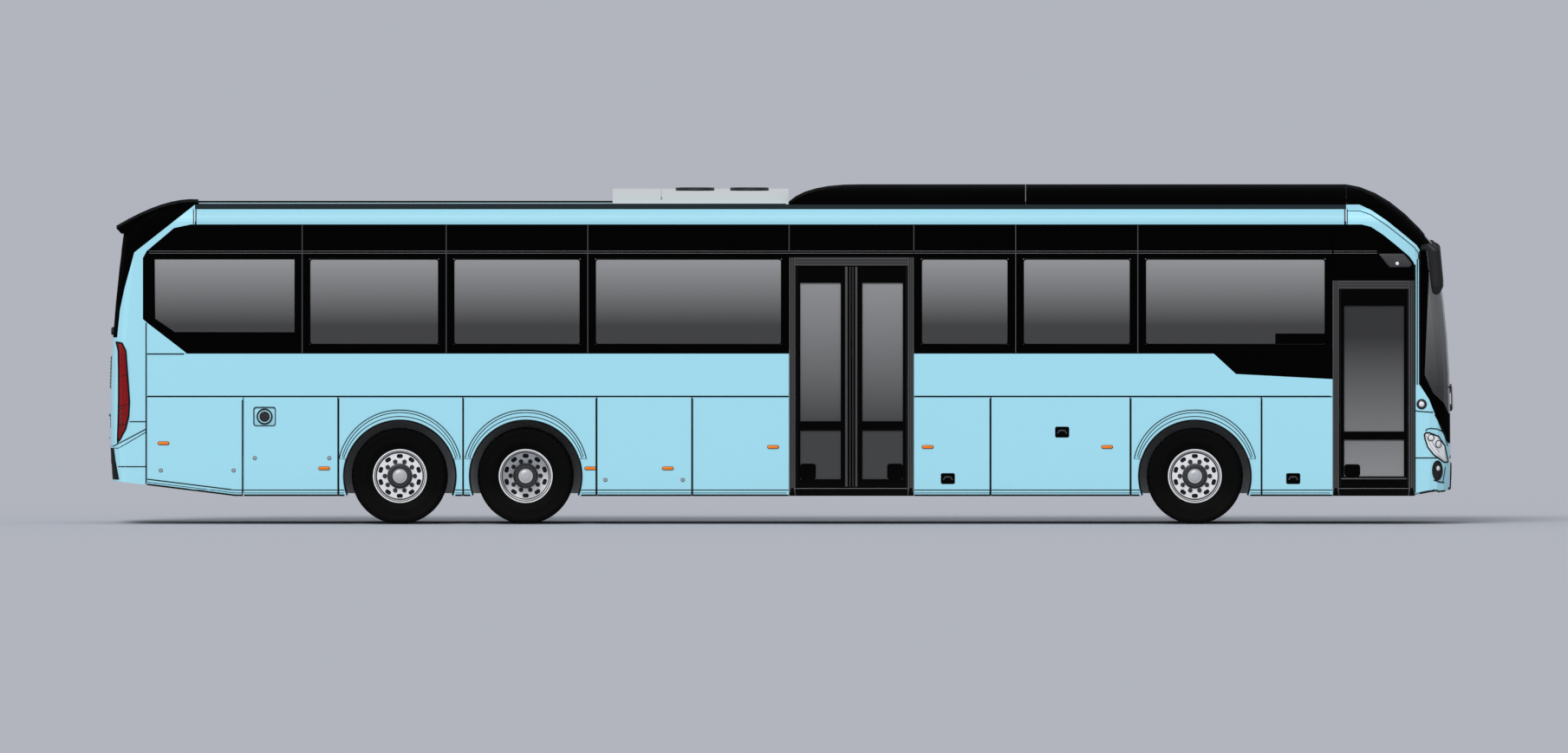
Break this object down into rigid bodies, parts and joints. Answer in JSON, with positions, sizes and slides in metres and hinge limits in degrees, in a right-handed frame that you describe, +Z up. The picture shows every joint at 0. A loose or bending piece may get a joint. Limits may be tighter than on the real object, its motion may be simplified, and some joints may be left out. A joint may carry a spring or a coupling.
{
  "type": "electric intercity coach",
  "caption": "Long single-deck coach on three axles with raked nose, window band, side doors on swing arms, luggage flaps, roof fairing and roof unit.",
  "frame": {"origin": "on the road under the middle of the body", "axes": "+X forward, +Y to the left, +Z up"},
  "size_m": [14.952, 3.1274, 3.769],
  "materials": {
    "paint_blue": "satin gloss",
    "gloss_black": "gloss",
    "glass_tint": "polished",
    "lamp_clear": "polished",
    "lamp_red": "gloss",
    "white_panel": "satin",
    "dark_metal": "satin",
    "black_plastic": "matte",
    "floor_cover": "matte",
    "bare_metal": "satin",
    "seat_fabric": "woven",
    "tyre_rubber": "matte",
    "rim_alloy": "brushed",
    "battery_case": "satin"
  },
  "bodies": {
    "coach": {"roof_panel": "paint_blue", "cove_panels": "paint_blue", "waist_panels": "paint_blue", "skirt_panels": "paint_blue", "front_corners": "paint_blue", "front_panel": "paint_blue", "front_bumper": "paint_blue", "rear_quarters": "paint_blue", "rear_bumper": "paint_blue", "roof_gutters": "dark_metal", "chassis_frame": "dark_metal", "front_axle": "dark_metal", "drive_axle": "dark_metal", "tag_axle": "dark_metal", "side_headers": "gloss_black", "window_bands": "gloss_black", "door_portals": "gloss_black", "front_mask": "gloss_black", "rear_mask": "gloss_black", "roof_fairing": "gloss_black", "side_glass": "glass_tint", "windscreen": "glass_tint", "rear_window": "glass_tint", "front_lamps": "lamp_clear", "tail_lamps": "lamp_red", "roof_unit": "white_panel", "mirrors": "black_plastic", "wheelhouses": "black_plastic", "dashboard": "black_plastic", "cabin_floor": "floor_cover", "door_steps": "floor_cover", "bulkheads": "bare_metal", "traction_batteries": "battery_case", "seats": "seat_fabric"},
    "knuckle_left": {"knuckle_left": "dark_metal"},
    "knuckle_right": {"knuckle_right": "dark_metal"},
    "front_wheel_left": {"front_tyre_left": "tyre_rubber", "front_rim_left": "rim_alloy"},
    "front_wheel_right": {"front_tyre_right": "tyre_rubber", "front_rim_right": "rim_alloy"},
    "drive_wheels_left": {"drive_tyres_left": "tyre_rubber", "drive_rims_left": "rim_alloy"},
    "drive_wheels_right": {"drive_tyres_right": "tyre_rubber", "drive_rims_right": "rim_alloy"},
    "tag_wheel_left": {"tag_tyre_left": "tyre_rubber", "tag_rim_left": "rim_alloy"},
    "tag_wheel_right": {"tag_tyre_right": "tyre_rubber", "tag_rim_right": "rim_alloy"},
    "front_door_swing": {"front_door_arms": "dark_metal"},
    "front_door_leaf": {"front_door": "gloss_black"},
    "mid_rear_swing": {"mid_door_rear_arms": "dark_metal"},
    "mid_rear_leaf": {"mid_door_rear": "gloss_black"},
    "mid_front_swing": {"mid_door_front_arms": "dark_metal"},
    "mid_front_leaf": {"mid_door_front": "gloss_black"},
    "tail_flap": {"door_flap_tail": "paint_blue"},
    "charge_flap": {"door_flap_charge": "paint_blue"},
    "rear_bay_flap": {"door_flap_rear_bay": "paint_blue"},
    "front_bay_flap": {"door_flap_front_bay": "paint_blue"},
    "left_bay_flap": {"left_flap_rear_bay": "paint_blue"},
    "hatch": {"rear_hatch": "paint_blue"}
  },
  "joints": [
    {"name": "steer_left", "type": "hinge", "parent": "coach", "child": "knuckle_left", "pos_m": [4.625, 0.94, 0.538], "axis": [0, 0, 1], "range_deg": [-45, 45]},
    {"name": "steer_right", "type": "hinge", "parent": "coach", "child": "knuckle_right", "pos_m": [4.625, -0.94, 0.538], "axis": [0, 0, 1], "range_deg": [-45, 45]},
    {"name": "front_wheel_left_spin", "type": "hinge", "parent": "knuckle_left", "child": "front_wheel_left", "pos_m": [4.625, 1.094, 0.538], "axis": [0, 1, 0], "continuous": true},
    {"name": "drive_wheels_left_spin", "type": "hinge", "parent": "coach", "child": "drive_wheels_left", "pos_m": [-2.845, 1.094, 0.538], "axis": [0, 1, 0], "continuous": true},
    {"name": "tag_wheel_left_spin", "type": "hinge", "parent": "coach", "child": "tag_wheel_left", "pos_m": [-4.25, 1.094, 0.538], "axis": [0, 1, 0], "continuous": true},
    {"name": "front_wheel_right_spin", "type": "hinge", "parent": "knuckle_right", "child": "front_wheel_right", "pos_m": [4.625, -1.094, 0.538], "axis": [0, 1, 0], "continuous": true},
    {"name": "drive_wheels_right_spin", "type": "hinge", "parent": "coach", "child": "drive_wheels_right", "pos_m": [-2.845, -1.094, 0.538], "axis": [0, 1, 0], "continuous": true},
    {"name": "tag_wheel_right_spin", "type": "hinge", "parent": "coach", "child": "tag_wheel_right", "pos_m": [-4.25, -1.094, 0.538], "axis": [0, 1, 0], "continuous": true},
    {"name": "front_door_open", "type": "hinge", "parent": "coach", "child": "front_door_swing", "pos_m": [6.293, -1.13, 1.4], "axis": [0, 0, -1], "range_deg": [0, 135]},
    {"name": "mid_rear_open", "type": "hinge", "parent": "coach", "child": "mid_rear_swing", "pos_m": [0.224, -1.13, 1.4], "axis": [0, 0, -1], "range_deg": [0, 135]},
    {"name": "mid_front_open", "type": "hinge", "parent": "coach", "child": "mid_front_swing", "pos_m": [1.36, -1.13, 1.4], "axis": [0, 0, 1], "range_deg": [0, 135]},
    {"name": "front_door_leaf_turn", "type": "hinge", "parent": "front_door_swing", "child": "front_door_leaf", "pos_m": [6.759, -1.13, 1.4], "axis": [0, 0, -1], "range_deg": [-135, 0]},
    {"name": "mid_rear_leaf_turn", "type": "hinge", "parent": "mid_rear_swing", "child": "mid_rear_leaf", "pos_m": [0.594, -1.13, 1.4], "axis": [0, 0, -1], "range_deg": [-135, 0]},
    {"name": "mid_front_leaf_turn", "type": "hinge", "parent": "mid_front_swing", "child": "mid_front_leaf", "pos_m": [0.99, -1.13, 1.4], "axis": [0, 0, 1], "range_deg": [-135, 0]},
    {"name": "tail_flap_open", "type": "hinge", "parent": "coach", "child": "tail_flap", "pos_m": [-6.5365, -1.267, 1.4107], "axis": [-1, 0, 0], "range_deg": [0, 95]},
    {"name": "charge_flap_open", "type": "hinge", "parent": "coach", "child": "charge_flap", "pos_m": [-5.4695, -1.267, 1.4107], "axis": [-1, 0, 0], "range_deg": [0, 95]},
    {"name": "rear_bay_flap_open", "type": "hinge", "parent": "coach", "child": "rear_bay_flap", "pos_m": [-1.52058, -1.267, 1.4107], "axis": [-1, 0, 0], "range_deg": [0, 95]},
    {"name": "front_bay_flap_open", "type": "hinge", "parent": "coach", "child": "front_bay_flap", "pos_m": [3.12546, -1.267, 1.4107], "axis": [-1, 0, 0], "range_deg": [0, 95]},
    {"name": "left_bay_flap_open", "type": "hinge", "parent": "coach", "child": "left_bay_flap", "pos_m": [-1.52058, 1.267, 1.4107], "axis": [1, 0, 0], "range_deg": [0, 95]},
    {"name": "hatch_open", "type": "hinge", "parent": "coach", "child": "hatch", "pos_m": [-7.44214, 0, 2.0757], "axis": [0, 1, 0], "range_deg": [0, 80]}
  ],
  "couplings": [
    {"joint": "steer_right", "follows": "steer_left", "ratio": 1},
    {"joint": "front_door_leaf_turn", "follows": "front_door_open", "ratio": -1},
    {"joint": "mid_rear_leaf_turn", "follows": "mid_rear_open", "ratio": -1},
    {"joint": "mid_front_leaf_turn", "follows": "mid_front_open", "ratio": -1}
  ]
}
